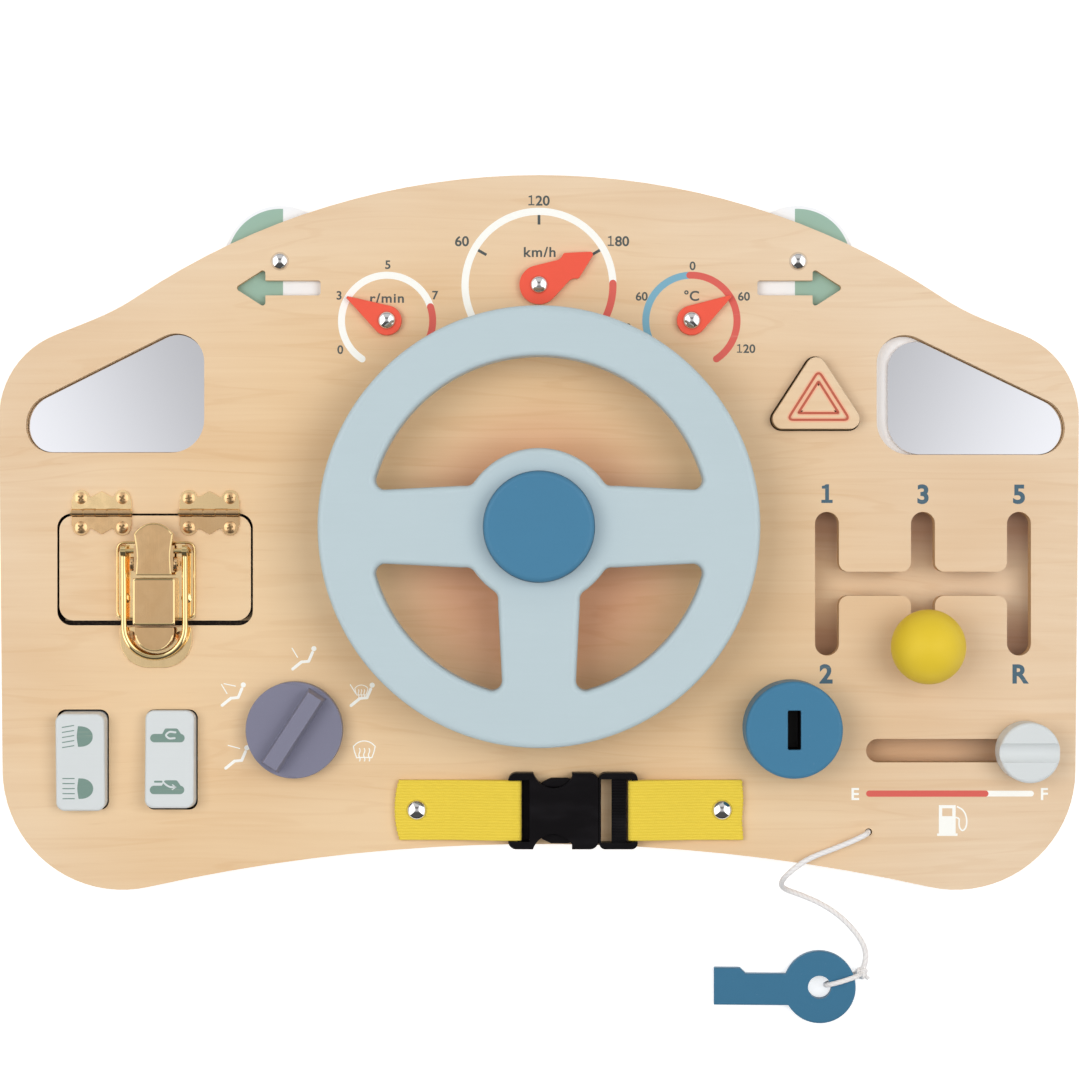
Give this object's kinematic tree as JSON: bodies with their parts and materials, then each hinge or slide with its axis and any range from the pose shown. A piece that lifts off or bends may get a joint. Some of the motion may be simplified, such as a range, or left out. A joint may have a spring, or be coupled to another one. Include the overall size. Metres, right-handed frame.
{
  "type": "wooden busy board",
  "caption": "Dashboard-shaped wooden busy board with a steering wheel, gauges, switches, sliders, a latched door, a strap buckle and a toy key on a cord.",
  "frame": {"origin": "middle of the board's back, on the surface it lies on", "axes": "+X to the right along the dashboard, +Y towards the crowned top edge, +Z out of the printed face"},
  "size_m": [0.45, 0.3558, 0.064],
  "materials": {
    "maple": "fine straight-grained maple veneer, satin lacquer",
    "plywood": "plywood, visible plies on the edges",
    "door_maple": "maple veneer door leaf",
    "hazard_maple": "maple veneer with red printed triangle",
    "screw_steel": "zinc plated steel",
    "chrome": "polished chrome dome heads",
    "pale_blue_paint": "pale grey-blue painted wood",
    "blue_paint": "blue painted wood",
    "key_paint": "blue painted plywood",
    "red_paint": "orange-red painted needles",
    "green_print": "sage green and white printed disc",
    "mirror": "silvered acrylic",
    "white_card": "white backing sheet",
    "yellow_paint": "yellow painted ball",
    "dowel": "bare beech dowel",
    "white_paint": "cool white painted wood",
    "violet_paint": "grey-violet painted wood",
    "brass": "polished pale brass",
    "webbing": "yellow ribbed webbing",
    "black_plastic": "black acetal",
    "cord": "off-white twisted cotton cord"
  },
  "bodies": {
    "root": {"front_panel": "maple", "core_panel": "plywood", "back_panel": "plywood", "panel_screws": "screw_steel", "steering_boss": "plywood", "steering_axle": "screw_steel", "steering_washer": "screw_steel", "steering_nut": "screw_steel", "gauge_screws": "chrome", "indicator_screws": "chrome", "left_mirror": "mirror", "right_mirror": "mirror", "mirror_backings": "white_card", "hazard_spring": "screw_steel", "rocker_rod": "screw_steel", "hinge_frame_leaves": "brass", "hinge_pins": "brass", "frame_screws": "brass", "latch_catch": "brass", "left_strap": "webbing", "right_strap": "webbing", "strap_rivets": "chrome", "buckle_socket": "black_plastic", "key": "key_paint", "key_loop": "cord", "key_cord": "cord", "cord_stop_knot": "cord"},
    "steering_wheel": {"steering_wheel": "pale_blue_paint", "horn_spring": "screw_steel"},
    "horn_button": {"horn_button": "blue_paint"},
    "speed_needle": {"speed_needle": "red_paint"},
    "rev_needle": {"rev_needle": "red_paint"},
    "temperature_needle": {"temperature_needle": "red_paint"},
    "left_indicator": {"left_indicator_disc": "green_print"},
    "right_indicator": {"right_indicator_disc": "green_print"},
    "hazard_button": {"hazard_button": "hazard_maple"},
    "gear_lever": {"gear_ball": "yellow_paint", "gear_stem": "dowel", "gear_retainer": "dowel"},
    "fuel_slider": {"fuel_knob": "white_paint", "fuel_stem": "dowel", "fuel_retainer": "dowel"},
    "ignition_lock": {"ignition_lock": "blue_paint", "ignition_spindle": "screw_steel"},
    "climate_knob": {"climate_knob": "violet_paint", "climate_spindle": "screw_steel"},
    "left_rocker": {"left_rocker": "white_paint"},
    "right_rocker": {"right_rocker": "white_paint"},
    "door": {"door_panel": "door_maple", "hinge_door_leaves": "brass", "hinge_door_screws": "brass", "latch_base": "brass", "latch_rivets": "brass", "latch_lever_pin": "brass"},
    "latch_lever": {"latch_lever": "brass", "bail_pin": "brass"},
    "latch_bail": {"latch_bail": "brass"},
    "buckle_plug": {"buckle_plug": "black_plastic"},
    "upper_prong": {"upper_prong": "black_plastic"},
    "lower_prong": {"lower_prong": "black_plastic"}
  },
  "joints": [
    {"name": "steering_turn", "type": "hinge", "parent": "root", "child": "steering_wheel", "pos_m": [0, 0.0021, 0.046], "axis": [0, 0, 1], "continuous": true},
    {"name": "horn_press", "type": "slide", "parent": "steering_wheel", "child": "horn_button", "axis": [0, 0, -1], "range_m": [0, 0.003], "stiffness_N_per_m": 600, "springref_m": -0.002, "deforming": ["horn_spring"]},
    {"name": "speed_needle_turn", "type": "hinge", "parent": "root", "child": "speed_needle", "pos_m": [0, 0.1028, 0.024], "axis": [0, 0, 1], "continuous": true},
    {"name": "rev_needle_turn", "type": "hinge", "parent": "root", "child": "rev_needle", "pos_m": [-0.0633, 0.088, 0.024], "axis": [0, 0, 1], "continuous": true},
    {"name": "temperature_needle_turn", "type": "hinge", "parent": "root", "child": "temperature_needle", "pos_m": [0.0635, 0.088, 0.024], "axis": [0, 0, 1], "continuous": true},
    {"name": "left_indicator_turn", "type": "hinge", "parent": "root", "child": "left_indicator", "pos_m": [-0.108, 0.1128, 0.0145], "axis": [0, 0, 1], "continuous": true},
    {"name": "right_indicator_turn", "type": "hinge", "parent": "root", "child": "right_indicator", "pos_m": [0.108, 0.1128, 0.0145], "axis": [0, 0, 1], "continuous": true},
    {"name": "hazard_press", "type": "slide", "parent": "root", "child": "hazard_button", "axis": [0, 0, -1], "range_m": [0, 0.003], "stiffness_N_per_m": 500, "springref_m": -0.002, "deforming": ["hazard_spring"]},
    {"name": "gear_shift", "type": "slide", "parent": "root", "child": "gear_lever", "axis": [0, 1, 0], "range_m": [0, 0.0514]},
    {"name": "fuel_slide", "type": "slide", "parent": "root", "child": "fuel_slider", "axis": [-1, 0, 0], "range_m": [0, 0.0619]},
    {"name": "ignition_turn", "type": "hinge", "parent": "root", "child": "ignition_lock", "pos_m": [0.1047, -0.0813, 0.024], "axis": [0, 0, 1], "continuous": true},
    {"name": "climate_turn", "type": "hinge", "parent": "root", "child": "climate_knob", "pos_m": [-0.1015, -0.0821, 0.024], "axis": [0, 0, 1], "continuous": true},
    {"name": "left_rocker_tilt", "type": "hinge", "parent": "root", "child": "left_rocker", "pos_m": [-0.19, -0.0948, 0.017], "axis": [1, 0, 0], "range_deg": [-7, 0]},
    {"name": "right_rocker_tilt", "type": "hinge", "parent": "root", "child": "right_rocker", "pos_m": [-0.153, -0.0948, 0.017], "axis": [1, 0, 0], "range_deg": [0, 7]},
    {"name": "door_swing", "type": "hinge", "parent": "root", "child": "door", "pos_m": [-0.1595, 0.008, 0.0227], "axis": [-1, 0, 0], "range_deg": [0, 110]},
    {"name": "latch_lever_lift", "type": "hinge", "parent": "door", "child": "latch_lever", "pos_m": [-0.1595, -0.0132, 0.0276], "axis": [1, 0, 0], "range_deg": [0, 110]},
    {"name": "latch_bail_swing", "type": "hinge", "parent": "latch_lever", "child": "latch_bail", "pos_m": [-0.1595, -0.0079, 0.0276], "axis": [-1, 0, 0], "range_deg": [0, 145]},
    {"name": "buckle_slide", "type": "slide", "parent": "root", "child": "buckle_plug", "axis": [1, 0, 0], "range_m": [0, 0.0245], "deforming": ["right_strap"]},
    {"name": "upper_prong_squeeze", "type": "hinge", "parent": "buckle_plug", "child": "upper_prong", "pos_m": [0.0219, -0.1042, 0.0253], "axis": [0, 0, 1], "range_deg": [0, 6.5], "stiffness_Nm_per_rad": 0.3},
    {"name": "lower_prong_squeeze", "type": "hinge", "parent": "buckle_plug", "child": "lower_prong", "pos_m": [0.0219, -0.127, 0.0253], "axis": [0, 0, 1], "range_deg": [-6.5, 0]}
  ],
  "couplings": [
    {"joint": "latch_bail_swing", "follows": "latch_lever_lift", "ratio": 1.27},
    {"joint": "lower_prong_squeeze", "follows": "upper_prong_squeeze", "ratio": -1}
  ]
}
